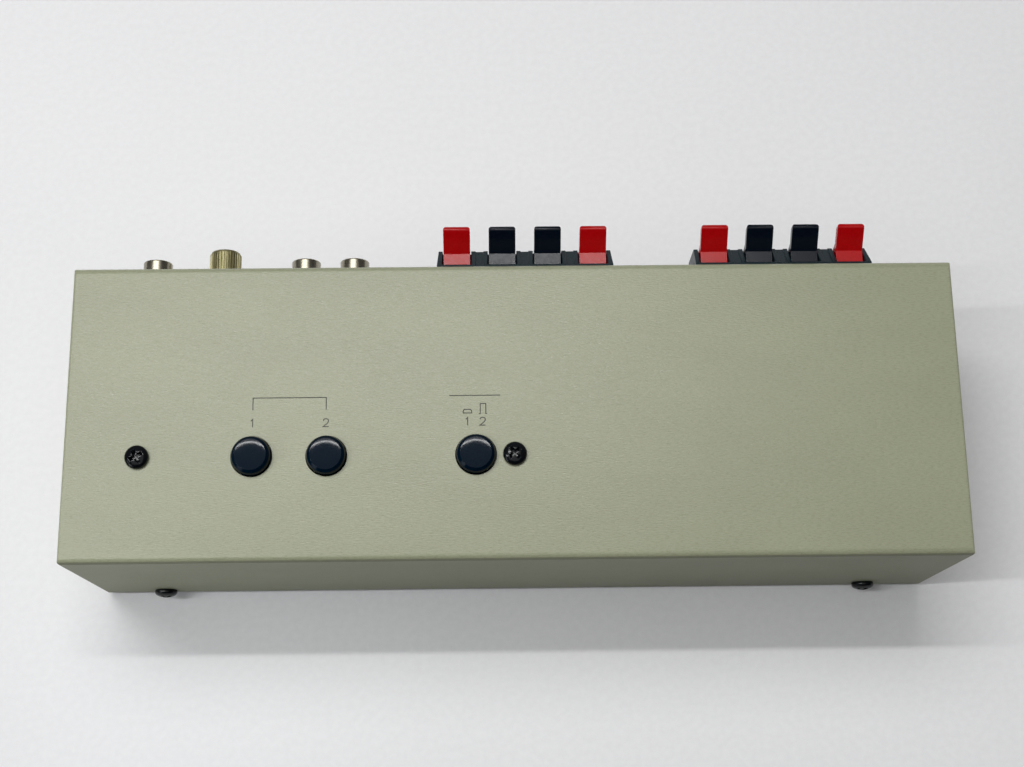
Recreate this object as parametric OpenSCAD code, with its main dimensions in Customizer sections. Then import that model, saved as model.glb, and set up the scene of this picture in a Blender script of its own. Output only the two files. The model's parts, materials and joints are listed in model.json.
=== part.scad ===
// Amplifier selector box: a folded metal case with push buttons on its top and, on its back wall,
// phono jacks, an earth post and lever terminals for loudspeaker wires.
// X runs along the case, Y to its back and Z up. The origin is on the floor, at the middle of the outline.

/* [Case] */
// Depth of the case from front wall to back wall
case_d = 82; // [70:1:120]
// Height of the case without its feet
case_h = 56; // [50:1:90]
// Thickness of the case's and the base's sheet
sheet_t = 1.2; // [0.8:0.1:1.6]
// Outside radius of the case's folds along its front and its back
bend_r = 2; // [1.6:0.1:5]
// Outside radius of the case's edges at its ends
end_r = 0.9; // [0.5:0.1:2]
// Height of the base's turned-up lips
lip_h = 9; // [7:0.5:12]
// Width of a rubber foot
foot_d = 11; // [8:0.5:16]
// Height of a rubber foot
foot_h = 3; // [2:0.5:10]
// From a case end to the foot's middle, along X
foot_end = 17; // [12:0.5:40]
// From a case wall to the foot's middle, along Y
foot_side = 14; // [10:0.5:24]

/* [Layout of the back wall] */
// From the case's left end to the single pair of jacks
left_end = 18.5; // [14:0.5:40]
// From the single pair of jacks to the earth post
post_gap = 18.2; // [14:0.1:40]
// From the earth post to the double pair of jacks
output_gap = 24.6; // [16:0.1:50]
// From the double pair of jacks to the left terminal block
block_gap = 49; // [44:0.5:80]
// Spacing of the two terminal blocks
block_pitch = 72.7; // [68:0.1:100]
// From the right terminal block to the case's right end
right_end = 45; // [38:0.5:80]

/* [Screws] */
// Thread diameter of every screw
screw_d = 3; // [2.5:0.1:4]
// Width of a screw's pan head
head_d = 6.4; // [5:0.1:8]
// Height of a screw's pan head
head_h = 2.2; // [1.5:0.1:3]
// From a case end to the base screw in the front wall
front_screw_end = 18.5; // [8:0.5:40]
// From a case end to the base screw in the back wall
back_screw_end = 8; // [6:0.5:10]
// Height of the base screws above the case's lower edge
base_screw_h = 4; // [3.6:0.1:6]

/* [Push buttons] */
// Spacing of the stations in the switch bank
button_pitch = 20; // [15:0.5:25]
// From the case's left end to the switch bank's first screw
bank_end = 19.85; // [12:0.05:40]
// From the front wall to the row of buttons
bank_front = 28.4; // [18:0.2:50]
// Width of a button
button_d = 10.5; // [9:0.1:13]
// Height of a button above the case when it is out
button_rise = 3; // [2:0.1:6]
// Travel of a button
button_travel = 2.5; // [1.5:0.1:3.5]

/* [Phono jacks] */
// Outside width of a jack's barrel
jack_d = 8.3; // [7:0.1:10]
// Reach of a barrel behind the back wall
jack_reach = 8.3; // [6:0.1:12]
// Spacing of jacks, across and up
jack_pitch = 14; // [12:0.5:18]

/* [Earth post] */
// Width of the knurled nut
nut_d = 9.1; // [8:0.1:12]
// Reach of the knurled nut behind the back wall
nut_reach = 14; // [10:0.1:20]

/* [Speaker terminals] */
// Spacing of the levers along X
lever_pitch = 12.8; // [11:0.1:15]
// Width of a lever
lever_w = 7.5; // [6:0.1:9]
// Spacing of the two rows of levers
row_pitch = 22; // [20:0.5:26]
// Angle that a lever's tab rises at
tab_angle = 40; // [25:1:45]
// Length of a lever's tab from its valley to the middle of its round tip
tab_len = 6.7; // [4:0.1:9]
// Thickness of a lever's tab
tab_t = 1.9; // [1.4:0.1:2.4]

/* [Hidden] */
$fn = 64;
over = 1;
fit_gap = 0.05;
side_gap = 0.3;

// Levels and faces of the case
case_w = left_end + post_gap + output_gap + jack_pitch + block_gap + block_pitch + right_end;
top_z = foot_h + case_h;
mid_z = foot_h + case_h / 2;
wall_y = case_d / 2;
arc_steps = 6;
bend_in_r = bend_r - sheet_t;
end_in_r = end_r / 3;

// Base, feet and screws
base_y = wall_y - sheet_t - side_gap;
base_x = case_w / 2 - sheet_t - side_gap;
base_screw_z = foot_h + base_screw_h;
front_screw_x = case_w / 2 - front_screw_end;
back_screw_x = case_w / 2 - back_screw_end;
foot_x = case_w / 2 - foot_end;
foot_y = wall_y - foot_side;
peg_r = 2;
peg_head_r = 2.8;
peg_head_h = 1.4;
screw_r = screw_d / 2;
screw_len = 6;
screw_hole_r = screw_r + 0.2;
head_edge_h = 0.4 * head_h;
slot_len = 0.55 * head_d;
slot_w = 0.14 * head_d;
slot_deep = 0.55 * head_h;

// Push buttons and their switch bank, down from the case's top face
button_names = ["a", "b", "c"];
button_stations = [1, 2, 4];
stations = 5;
button_r = button_d / 2;
button_hole_r = button_r + 0.35;
button_edge_r = 0.9;
button_wall = 1.3;
button_cap_t = 1.8;
skirt_z = -sheet_t - 4.8;
boss_r = 3.4;
boss_z = skirt_z - 1;
plunger_x = 4;
plunger_y = 3;
plunger_play = 0.25;
collar_r = 3.9;
collar_h = 1;
collar_z = boss_z - collar_h;
spring_len = 6.2;
spring_r = 3.1;
wire_r = 0.25;
spring_turns = 4;
turn_steps = 14;
wire_sides = 6;
frame_t = 1.2;
frame_z = collar_z - spring_len;
frame_y = 12;
frame_half = 2 * button_pitch + button_hole_r + 0.6;
frame_foot = 8;
switch_screw_x = frame_half + frame_t + 3;
bank_x = bank_end - case_w / 2 + switch_screw_x;
bank_y = bank_front - wall_y;
stop_x = 6;
stop_gap = 0.1;
switch_x = 13;
switch_y = 9;
switch_h = 20;
switch_z = frame_z - frame_t;
channel_y = 6;
channel_h = 1.2;
floor_t = 1.2;
plunger_z = switch_z - switch_h + floor_t + button_travel + 0.8;
latch_y = 5.6;
latch_t = 0.8;
latch_travel = 1.2;
latch_end = 6;
pin_r = 0.4;
pin_x = [-4.5, -1.5, 1.5, 4.5];
pin_y = 3.2;
pin_len = 3.2;
board_t = 1.6;
board_z = switch_z - switch_h - board_t;
board_y = 30;
board_end = 8;

// Phono jacks, out from the back wall's outer face
jack_names = ["in_1", "in_2", "out_1", "out_2", "out_3", "out_4"];
input_x = left_end - case_w / 2;
post_x = input_x + post_gap;
output_x = post_x + output_gap + jack_pitch / 2;
jack_xs = [input_x, output_x - jack_pitch / 2, output_x + jack_pitch / 2];
jack_r = jack_d / 2;
jack_wall = 0.7;
jack_lip = 0.5;
jack_foot_r = jack_r + 0.75;
jack_foot_t = 0.8;
jack_hole_r = jack_foot_r + 0.3;
neck_r = 3.2;
neck_in_r = 2.3;
flare_r = 3.9;
flare_t = 0.5;
jack_floor_y = jack_foot_t - sheet_t;
insulator_y = jack_reach - 0.7;
insulator_r = jack_r - jack_wall - 0.02;
contact_r = 1.95;
contact_in_r = 1.65;
contact_y = jack_floor_y + 0.6;
contact_floor = 0.8;
tail_r = 0.9;
tail_y = -8;
jack_board_edge = 3;
jack_board_y = -sheet_t - board_t;
rivet_r = 1.5;
rivet_head_r = 2.4;
rivet_head_t = 0.8;
rivet_dz = jack_pitch / 2 + jack_foot_r + rivet_head_r + side_gap;
jack_board_h = 2 * (rivet_dz + jack_board_edge);

// Earth post, out from the back wall's outer face
post_r = 2;
post_hole_r = 2.1;
post_end = nut_reach - 1.8;
lug_t = 0.8;
lug_r = 4;
lug_tail_w = 4;
lug_tail_h = 14;
lug_y = -sheet_t - lug_t;
post_head_r = 3.4;
post_head_t = 2.4;
hex_r = 4.04;
hex_t = 2.6;
washer_r = 4.4;
washer_t = 0.9;
nut_y = hex_t + washer_t;
nut_bore_end = post_end + 0.4;
knurl_teeth = 36;
knurl_deep = 0.3;
nut_dome = 1;

// Speaker terminal blocks: u is out from the back wall's outer face, v is up from a row's top edge
levers = 4;
rows = 2;
block_left_x = output_x + jack_pitch / 2 + block_gap;
block_xs = [block_left_x, block_left_x + block_pitch];
flange_t = 2;
block_h = 2 * row_pitch;
row_h = row_pitch - 2;
rim_u = 8.3;
slope_angle = 45;
rim_v = -(rim_u - flange_t) * tan(slope_angle);
ridge_v = -row_h + 2.5;
slot_x = lever_w + 0.6;
block_w = (levers - 1) * lever_pitch + slot_x + 3;
ridge_taper = 0.3;
body_w = block_w - 0.4;
body_y = 8;
body_top_v = -1.8;
cavity_low_v = ridge_v + 1;
body_low_v = cavity_low_v - 1.5;
ear_w = block_w + 16;
ear_h = 14;
ear_screw_x = block_w / 2 + 4.5;
cavity_u = 5.2;
cavity_back_u = -6;
cavity_top_v = -3;
mouth_v = -9;
port_w = 4.6;
port_v = cavity_low_v + 3.5;
groove_w = 2.2;
groove_deep = 0.45;

// Levers, in the same u and v
pivot_u = 3.6;
pivot_v = -6.2;
pivot_r = 0.8;
pivot_len = slot_x + 1.6;
root_v = -3;
root_angle = 2;
root_len = 3.7;
knee_len = 1.5;
toe_rise = 2.2;
tab_corner_r = 1.1;
heel_v = -10;
heel_half = 1;
contact_t = 0.4;
contact_w = 5;
leaf_u = -3;
leaf_drop = 0.7;
leaf_rise = 0.6;
upper_tag_u = -16;
lower_tag_u = -13;
tag_us = [upper_tag_u, lower_tag_u];
block_screw_len = 5;

// Wiring inside the case
bundle_z = foot_h + sheet_t + 3.8;
speaker_bundle_r = 2.8;
speaker_bundle_y = wall_y - 14;
speaker_branch_x = bank_x + button_pitch;
signal_bundle_r = 1.8;
signal_bundle_y = wall_y - 11;
signal_branch_x = bank_x - button_pitch / 2;
branch_y = bank_y + 3;
lead_r = 0.6;
drop_r = 0.7;
lead_reach = [4, 2];

// Centres the outline on the origin
back_reach = max(nut_reach, tip_mid()[0] + tab_t / 2);
shift_y = (head_h - back_reach) / 2;

function lever_name(i) = str("lever_", floor(i / (rows * levers)) == 0 ? "l" : "r", i % (rows * levers) + 1);

// Places that several pieces share
function station_x(k) = bank_x + (k - 2) * button_pitch;
function lever_x(i) = (i - (levers - 1) / 2) * lever_pitch;
function row_z(r) = mid_z + block_h / 2 - r * row_pitch;
function jack_z(r) = mid_z + jack_pitch * (0.5 - r);
function jack_board_w(columns) = (columns - 1) * jack_pitch + 2 * (jack_foot_r + jack_board_edge);
function arc(c, r, from, to) = [for (i = [0 : arc_steps])
    let (a = from + (to - from) * i / arc_steps) c + r * [cos(a), sin(a)]];

// Points of a lever's outline
function tab_way() = [cos(tab_angle), sin(tab_angle)];
function tab_down() = [sin(tab_angle), -cos(tab_angle)];
function root_point() = [pivot_u - heel_half, root_v];
function valley_point() = root_point() + root_len * [cos(root_angle), sin(root_angle)];
function tip_mid() = valley_point() + tab_len * tab_way() + tab_t / 2 * tab_down();

module in_frame() {
    translate([0, shift_y, 0])
        children();
}

// Turns a shape drawn up Z so that it points out of the back wall
module on_back(x, z) {
    translate([x, wall_y, z])
        rotate([-90, 0, 0])
            children();
}

// Extrudes a u, v outline along X, centred, at a terminal row
module across(width) {
    rotate([90, 0, 90])
        linear_extrude(width, center = true)
            children();
}

module at_row(block, row) {
    translate([block_xs[block], wall_y, row_z(row)])
        children();
}

module ring(outer, inner, height) {
    difference() {
        cylinder(r = outer, h = height);
        translate([0, 0, -over])
            cylinder(r = inner, h = height + 2 * over);
    }
}

module centred_box(x, y, height) {
    translate([-x / 2, -y / 2, 0])
        cube([x, y, height]);
}

module pan_screw(length) {
    difference() {
        union() {
            rotate_extrude()
                polygon(concat([[0, 0], [head_d / 2, 0]],
                    [for (i = [0 : arc_steps]) let (a = 90 * i / arc_steps)
                        [head_d / 2 * cos(a), head_edge_h + (head_h - head_edge_h) * sin(a)]]));
            translate([0, 0, -length])
                cylinder(r = screw_r - fit_gap, h = length);
        }
        for (turn = [0, 90])
            rotate([0, 0, turn])
                translate([0, 0, head_h - slot_deep])
                    centred_box(slot_len, slot_w, head_h);
    }
}

module arched_outline(width, height, radius) {
    polygon(concat([[-width / 2, -over], [width / 2, -over]],
        arc([width / 2 - radius, height - radius], radius, 0, 90),
        arc([radius - width / 2, height - radius], radius, 90, 180)));
}

module round_outline(width, depth, radius) {
    polygon([for (k = [0 : 3]) let (a = 90 * k, sx = cos(a + 45) > 0 ? 1 : -1, sy = sin(a + 45) > 0 ? 1 : -1)
        each arc([sx * (width / 2 - radius), sy * (depth / 2 - radius)], radius, a, a + 90)]);
}

// A box with round top edges and tighter edges at its ends, open to below its bottom
module folded_box(width, depth, height, fold, end) {
    intersection() {
        rotate([90, 0, 0])
            linear_extrude(depth + 2 * over, center = true)
                arched_outline(width, height, end);
        across(width + 2 * over)
            arched_outline(depth, height, fold);
        translate([0, 0, -over])
            linear_extrude(height + 2 * over)
                round_outline(width, depth, end);
    }
}

module top_case() {
    color([0.66, 0.66, 0.58])
        difference() {
            translate([0, 0, foot_h])
                folded_box(case_w, case_d, case_h, bend_r, end_r);
            translate([0, 0, foot_h - over])
                folded_box(case_w - 2 * sheet_t, case_d - 2 * sheet_t, case_h - sheet_t + over,
                    bend_in_r, end_in_r);
            translate([-case_w, -case_d, foot_h - 2 * over])
                cube([2 * case_w, 2 * case_d, 2 * over]);
            for (k = button_stations)
                translate([station_x(k), bank_y, top_z - 2 * sheet_t])
                    cylinder(r = button_hole_r, h = 3 * sheet_t);
            for (s = [-1, 1])
                translate([bank_x + s * switch_screw_x, bank_y, top_z - 2 * sheet_t])
                    cylinder(r = screw_hole_r, h = 3 * sheet_t);
            case_screw_places()
                translate([0, 0, -3 * sheet_t])
                    cylinder(r = screw_hole_r, h = 6 * sheet_t);
            back_wall_holes();
        }
}

module back_wall_holes() {
    for (x = jack_xs, r = [0, 1])
        on_back(x, jack_z(r))
            through_wall(jack_hole_r);
    rivet_places()
        through_wall(rivet_r + fit_gap);
    on_back(post_x, mid_z)
        through_wall(post_hole_r);
    for (x = block_xs) {
        translate([x - body_w / 2 - side_gap, wall_y - 2 * sheet_t, row_z(1) + body_low_v - side_gap])
            cube([body_w + 2 * side_gap, 3 * sheet_t, row_pitch + body_top_v - body_low_v + 2 * side_gap]);
        for (s = [-1, 1])
            on_back(x + s * ear_screw_x, mid_z)
                through_wall(screw_r);
    }
}

module through_wall(radius) {
    translate([0, 0, -2 * sheet_t])
        cylinder(r = radius, h = 3 * sheet_t);
}

module case_screw_places() {
    for (s = [-1, 1]) {
        translate([s * front_screw_x, -wall_y, base_screw_z])
            rotate([90, 0, 0])
                children();
        on_back(s * back_screw_x, base_screw_z)
            children();
    }
}

module base_plate() {
    color([0.5, 0.5, 0.48])
        difference() {
            union() {
                translate([-base_x, -base_y, foot_h])
                    cube([2 * base_x, 2 * base_y, sheet_t]);
                for (y = [-base_y, base_y - sheet_t])
                    translate([-base_x, y, foot_h])
                        cube([2 * base_x, sheet_t, lip_h]);
            }
            case_screw_places()
                translate([0, 0, -screw_len])
                    cylinder(r = screw_r, h = screw_len);
            back_lip_relief();
            for (sx = [-1, 1], sy = [-1, 1])
                translate([sx * foot_x, sy * foot_y, foot_h - over])
                    cylinder(r = peg_r + fit_gap, h = sheet_t + 2 * over);
        }
}

// Room in the back lip for the terminal blocks and the jack boards that come down beside it
module back_lip_relief() {
    for (x = block_xs)
        lip_notch(x, body_w, row_z(1) + body_low_v);
    lip_notch(input_x, jack_board_w(1), mid_z - jack_board_h / 2);
    lip_notch(output_x, jack_board_w(2), mid_z - jack_board_h / 2);
}

module lip_notch(x, width, low_z) {
    translate([x - width / 2 - over, base_y - 2 * sheet_t, low_z - over])
        cube([width + 2 * over, 3 * sheet_t, case_h]);
}

module case_screws() {
    color([0.06, 0.06, 0.07])
        case_screw_places()
            pan_screw(screw_len);
}

module rubber_feet() {
    color([0.05, 0.05, 0.05])
        for (sx = [-1, 1], sy = [-1, 1])
            translate([sx * foot_x, sy * foot_y, 0]) {
                cylinder(d1 = 0.9 * foot_d, d2 = foot_d, h = foot_h);
                cylinder(r = peg_r, h = foot_h + sheet_t + over);
                translate([0, 0, foot_h + sheet_t])
                    cylinder(r = peg_head_r, h = peg_head_h);
            }
}

// Puts a shape drawn about the case's top face at a button's station
module at_button(index) {
    translate([station_x(button_stations[index]), bank_y, top_z])
        children();
}

module button_cap(index) {
    inner_r = button_r - button_wall;
    ceiling = button_rise - button_cap_t;
    color([0.05, 0.05, 0.08])
        at_button(index)
            difference() {
                rotate_extrude()
                    polygon(concat([[0, boss_z], [boss_r, boss_z], [boss_r, ceiling], [inner_r, ceiling],
                        [inner_r, skirt_z], [button_r, skirt_z]],
                        arc([button_r - button_edge_r, button_rise - button_edge_r], button_edge_r, 0, 90),
                        [[0, button_rise]]));
                translate([0, 0, boss_z - over])
                    centred_box(plunger_x + 2 * fit_gap, plunger_y + 2 * fit_gap, ceiling - boss_z + over);
            }
}

module plunger(index) {
    color([0.82, 0.8, 0.74])
        at_button(index) {
            translate([0, 0, plunger_z])
                centred_box(plunger_x, plunger_y, button_rise - button_cap_t - fit_gap - plunger_z);
            translate([0, 0, collar_z])
                cylinder(r = collar_r, h = collar_h);
            translate([0, 0, plunger_z])
                centred_box(stop_x, plunger_y, switch_z - stop_gap - plunger_z);
        }
}

// A round wire swept along a helix, flat on its end turns
module return_spring(index) {
    steps = spring_turns * turn_steps;
    climb = spring_len - 2 * wire_r;
    points = [for (i = [0 : steps], k = [0 : wire_sides - 1])
        let (a = 360 * i / turn_steps, b = 360 * k / wire_sides, r = spring_r + wire_r * cos(b))
        [r * cos(a), r * sin(a), wire_r + climb * i / steps + wire_r * sin(b)]];
    sides = [for (i = [0 : steps - 1], k = [0 : wire_sides - 1])
        let (n = (k + 1) % wire_sides, p = i * wire_sides)
        [p + k, p + n, p + wire_sides + n, p + wire_sides + k]];
    start = [for (k = [0 : wire_sides - 1]) wire_sides - 1 - k];
    end = [for (k = [0 : wire_sides - 1]) steps * wire_sides + k];
    color([0.7, 0.7, 0.7])
        at_button(index)
            translate([0, 0, frame_z])
                polyhedron(points, concat([start], sides, [end]));
}

module switch_body(index) {
    color([0.35, 0.22, 0.12])
        at_button(index)
            translate([0, 0, switch_z - switch_h])
                difference() {
                    centred_box(switch_x, switch_y, switch_h);
                    translate([0, 0, floor_t])
                        centred_box(stop_x + 2 * plunger_play, plunger_y + 2 * plunger_play, switch_h);
                    translate([0, 0, switch_h - channel_h])
                        centred_box(switch_x + 2 * over, channel_y, switch_h);
                }
}

module switch_frame() {
    top = -sheet_t;
    color([0.72, 0.72, 0.7])
        translate([bank_x, bank_y, top_z])
            difference() {
                union() {
                    translate([0, 0, frame_z - frame_t])
                        centred_box(2 * (frame_half + frame_t), frame_y, frame_t);
                    for (s = [-1, 1]) {
                        translate([s * (frame_half + frame_t / 2), 0, frame_z - frame_t])
                            centred_box(frame_t, frame_y, top - frame_z + frame_t);
                        translate([s * (frame_half + frame_foot / 2), 0, top - frame_t])
                            centred_box(frame_foot, frame_y, frame_t);
                    }
                }
                for (k = [0 : stations - 1])
                    translate([station_x(k) - bank_x, 0, frame_z - 2 * frame_t])
                        centred_box(plunger_x + 2 * plunger_play, plunger_y + 2 * plunger_play, 3 * frame_t);
                for (s = [-1, 1])
                    translate([s * switch_screw_x, 0, top - 2 * frame_t])
                        cylinder(r = screw_r, h = 3 * frame_t);
            }
}

// A sliding strip that links the two selector buttons, so that pressing one lets the other out
module latch_bar() {
    first = station_x(button_stations[0]);
    second = station_x(button_stations[1]);
    slot = stop_x + 2 * plunger_play + latch_travel;
    color([0.75, 0.75, 0.76])
        translate([0, bank_y, top_z + switch_z - channel_h])
            difference() {
                translate([first - latch_end, -latch_y / 2, 0])
                    cube([second - first + 2 * latch_end, latch_y, latch_t]);
                for (x = [first, second])
                    translate([x - latch_travel / 2, 0, -over])
                        centred_box(slot, plunger_y + 2 * plunger_play, latch_t + 2 * over);
            }
}

module switch_screws() {
    color([0.06, 0.06, 0.07])
        for (s = [-1, 1])
            translate([bank_x + s * switch_screw_x, bank_y, top_z])
                pan_screw(screw_len);
}

module pin_places() {
    for (k = button_stations, x = pin_x, s = [-1, 1])
        translate([station_x(k) + x, bank_y + s * pin_y, top_z + board_z + board_t])
            children();
}

module switch_pins() {
    color([0.78, 0.76, 0.7])
        pin_places()
            translate([0, 0, -pin_len])
                cylinder(r = pin_r, h = pin_len);
}

module circuit_board() {
    left = station_x(button_stations[0]) - switch_x / 2 - board_end;
    right = station_x(button_stations[2]) + switch_x / 2 + board_end;
    color([0.5, 0.36, 0.16])
        difference() {
            translate([left, bank_y - board_y / 2, top_z + board_z])
                cube([right - left, board_y, board_t]);
            pin_places()
                translate([0, 0, -2 * board_t])
                    cylinder(r = pin_r + fit_gap, h = 3 * board_t);
        }
}

// A flat board behind the back wall, with a hole for each jack's neck and each rivet
module jack_board(xs, middle) {
    width = jack_board_w(len(xs));
    through = 4 * (board_t - jack_board_y);
    color([0.45, 0.3, 0.14])
        difference() {
            translate([middle - width / 2, wall_y + jack_board_y, mid_z - jack_board_h / 2])
                cube([width, board_t, jack_board_h]);
            for (x = xs, r = [0, 1])
                on_back(x, jack_z(r))
                    cylinder(r = neck_r + fit_gap, h = through, center = true);
            rivet_places()
                cylinder(r = rivet_r + fit_gap, h = through, center = true);
        }
}

module rivet_places() {
    for (x = [input_x, output_x], s = [-1, 1])
        on_back(x, mid_z + s * rivet_dz)
            children();
}

module jack_rivets() {
    length = sheet_t + board_t;
    color([0.7, 0.7, 0.68])
        rivet_places() {
            cylinder(r = rivet_head_r, h = rivet_head_t);
            translate([0, 0, -length])
                cylinder(r = rivet_r, h = length + rivet_head_t / 2);
            translate([0, 0, -length - rivet_head_t])
                cylinder(r = rivet_head_r, h = rivet_head_t);
        }
}

module jack_shell(index) {
    inner_r = jack_r - jack_wall;
    color([0.75, 0.74, 0.7])
        on_back(jack_xs[floor(index / 2)], jack_z(index % 2))
            rotate_extrude()
                polygon(concat([
                    [neck_in_r, jack_board_y - flare_t], [flare_r, jack_board_y - flare_t],
                    [flare_r, jack_board_y], [neck_r, jack_board_y], [neck_r, -sheet_t],
                    [jack_foot_r, -sheet_t], [jack_foot_r, jack_floor_y], [jack_r, jack_floor_y]],
                    arc([jack_r - jack_lip, jack_reach - jack_lip], jack_lip, 0, 90),
                    [[inner_r, jack_reach], [inner_r, jack_floor_y], [neck_in_r, jack_floor_y]]));
}

module insulators(row) {
    for (x = jack_xs)
        on_back(x, jack_z(row))
            rotate_extrude()
                polygon([
                    [tail_r + fit_gap, jack_floor_y], [insulator_r, jack_floor_y],
                    [insulator_r, insulator_y], [contact_r + fit_gap, insulator_y],
                    [contact_r + fit_gap, contact_y], [tail_r + fit_gap, contact_y]]);
}

module left_insulators() {
    color([0.85, 0.84, 0.8])
        insulators(0);
}

module right_insulators() {
    color([0.6, 0.05, 0.05])
        insulators(1);
}

module jack_contacts() {
    color([0.78, 0.7, 0.45])
        for (x = jack_xs, r = [0, 1])
            on_back(x, jack_z(r))
                rotate_extrude()
                    polygon([
                        [0, tail_y], [tail_r, tail_y], [tail_r, contact_y], [contact_r, contact_y],
                        [contact_r, insulator_y], [contact_in_r, insulator_y],
                        [contact_in_r, contact_y + contact_floor], [0, contact_y + contact_floor]]);
}

module ground_post() {
    color([0.72, 0.7, 0.62])
        on_back(post_x, mid_z) {
            translate([0, 0, lug_y - post_head_t])
                cylinder(r = post_head_r, h = post_head_t);
            translate([0, 0, lug_y - post_head_t / 2])
                cylinder(r = post_r, h = post_end - lug_y + post_head_t / 2);
        }
}

module ground_hex_nut() {
    color([0.72, 0.7, 0.62])
        on_back(post_x, mid_z)
            difference() {
                cylinder(r = hex_r, h = hex_t, $fn = 6);
                translate([0, 0, -over])
                    cylinder(r = post_r + fit_gap, h = hex_t + 2 * over);
            }
}

module ground_washer() {
    color([0.72, 0.7, 0.62])
        on_back(post_x, mid_z)
            translate([0, 0, hex_t])
                ring(washer_r, post_r + fit_gap, washer_t);
}

module ground_nut() {
    tooth = 360 / knurl_teeth;
    core_r = nut_d / 2 - knurl_deep;
    color([0.6, 0.55, 0.42])
        on_back(post_x, mid_z)
            difference() {
                union() {
                    translate([0, 0, nut_y])
                        linear_extrude(nut_reach - nut_dome - nut_y)
                            polygon([for (i = [0 : knurl_teeth - 1], half = [0, 1])
                                (nut_d / 2 - half * knurl_deep)
                                * [cos(tooth * (i + half / 2)), sin(tooth * (i + half / 2))]]);
                    translate([0, 0, nut_reach - nut_dome])
                        cylinder(r1 = core_r, r2 = core_r - nut_dome, h = nut_dome);
                }
                cylinder(r = post_r + fit_gap, h = nut_bore_end);
            }
}

module ground_lug() {
    color([0.75, 0.74, 0.7])
        on_back(post_x, mid_z)
            translate([0, 0, lug_y])
                difference() {
                    union() {
                        cylinder(r = lug_r, h = lug_t);
                        translate([-lug_tail_w / 2, 0, 0])
                            cube([lug_tail_w, lug_tail_h, lug_t]);
                    }
                    translate([0, 0, -over])
                        cylinder(r = post_hole_r, h = lug_t + 2 * over);
                }
}

// One row's ridge: a top that slopes down and out, a face with the wire ports and tapered ends
module ridge() {
    half = block_w / 2 - ridge_taper;
    intersection() {
        across(block_w)
            polygon([[flange_t / 2, 0], [flange_t, 0], [rim_u, rim_v], [rim_u, ridge_v],
                [flange_t, -row_h], [flange_t / 2, -row_h]]);
        translate([0, 0, -2 * row_h])
            linear_extrude(3 * row_h)
                polygon([[-block_w / 2, 0], [block_w / 2, 0], [block_w / 2, flange_t], [half, rim_u],
                    [half, 2 * rim_u], [-half, 2 * rim_u], [-half, rim_u], [-block_w / 2, flange_t]]);
    }
}

// The room for one lever: a slot down through the ridge and a cavity behind the ports
module lever_room() {
    across(slot_x)
        polygon([[flange_t + 0.2, over], [2 * rim_u, over], [2 * rim_u, mouth_v], [cavity_u, mouth_v],
            [cavity_u, cavity_low_v], [cavity_back_u, cavity_low_v], [cavity_back_u, cavity_top_v],
            [flange_t + 0.2, cavity_top_v]]);
    translate([0, pivot_u, pivot_v])
        rotate([0, 90, 0])
            cylinder(r = pivot_r + fit_gap, h = pivot_len + 2 * fit_gap, center = true);
    translate([-port_w / 2, cavity_u - over, port_v - port_w / 2])
        cube([port_w, 2 * rim_u, port_w]);
    translate([-contact_w / 2 - fit_gap, -body_y - over, cavity_low_v])
        cube([contact_w + 2 * fit_gap, body_y + cavity_back_u + 2 * over, contact_t + 2 * fit_gap]);
}

// A shallow groove down the slope between two levers
module slope_groove() {
    translate([0, flange_t, 0])
        rotate([-slope_angle, 0, 0])
            translate([-groove_w / 2, 0, -groove_deep])
                cube([groove_w, 2 * rim_u, 2 * rim_u]);
}

module terminal_block(block) {
    color([0.07, 0.09, 0.1])
        difference() {
            union() {
                translate([block_xs[block], wall_y, mid_z]) {
                    translate([-block_w / 2, 0, -block_h / 2])
                        cube([block_w, flange_t, block_h]);
                    translate([-ear_w / 2, 0, -ear_h / 2])
                        cube([ear_w, flange_t, ear_h]);
                }
                translate([block_xs[block] - body_w / 2, wall_y - body_y, row_z(1) + body_low_v])
                    cube([body_w, body_y + flange_t / 2, row_pitch + body_top_v - body_low_v]);
                for (r = [0 : rows - 1])
                    at_row(block, r)
                        ridge();
            }
            for (r = [0 : rows - 1])
                at_row(block, r) {
                    for (i = [0 : levers - 1])
                        translate([lever_x(i), 0, 0])
                            lever_room();
                    for (i = [0 : levers - 2])
                        translate([(lever_x(i) + lever_x(i + 1)) / 2, 0, 0])
                            slope_groove();
                }
            block_screw_places(block)
                translate([0, 0, -block_screw_len])
                    cylinder(r = screw_hole_r, h = 2 * block_screw_len);
        }
}

module block_screw_places(block) {
    for (s = [-1, 1])
        on_back(block_xs[block] + s * ear_screw_x, mid_z)
            translate([0, 0, flange_t])
                children();
}

module terminal_screws() {
    color([0.7, 0.7, 0.68])
        for (b = [0, 1])
            block_screw_places(b)
                pan_screw(block_screw_len);
}

// A lever's outline from its root out to its valley, up its tab, down its face and back by its heel
module lever_outline() {
    valley = valley_point();
    polygon(concat([root_point(), valley],
        arc(tip_mid(), tab_t / 2, tab_angle + 90, tab_angle - 90),
        [valley + knee_len * tab_way() + tab_t * tab_down(),
        [rim_u - side_gap, mouth_v + toe_rise],
        [cavity_u - side_gap, mouth_v + side_gap],
        [pivot_u + heel_half, heel_v],
        [pivot_u - heel_half, heel_v]]));
}

module lever(index) {
    block = floor(index / (rows * levers));
    row = floor(index / levers) % rows;
    column = index % levers;
    outer_column = column == 0 || column == levers - 1;
    reach = tip_mid()[0] + tab_t / 2;
    color(outer_column ? [0.65, 0.02, 0.04] : [0.05, 0.06, 0.08])
        at_row(block, row)
            translate([lever_x(column), 0, 0]) {
                intersection() {
                    across(lever_w)
                        lever_outline();
                    translate([0, reach / 2, -row_h])
                        linear_extrude(2 * row_h)
                            round_outline(lever_w, reach, tab_corner_r);
                }
                translate([0, pivot_u, pivot_v])
                    rotate([0, 90, 0])
                        cylinder(r = pivot_r, h = pivot_len, center = true);
            }
}

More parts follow.
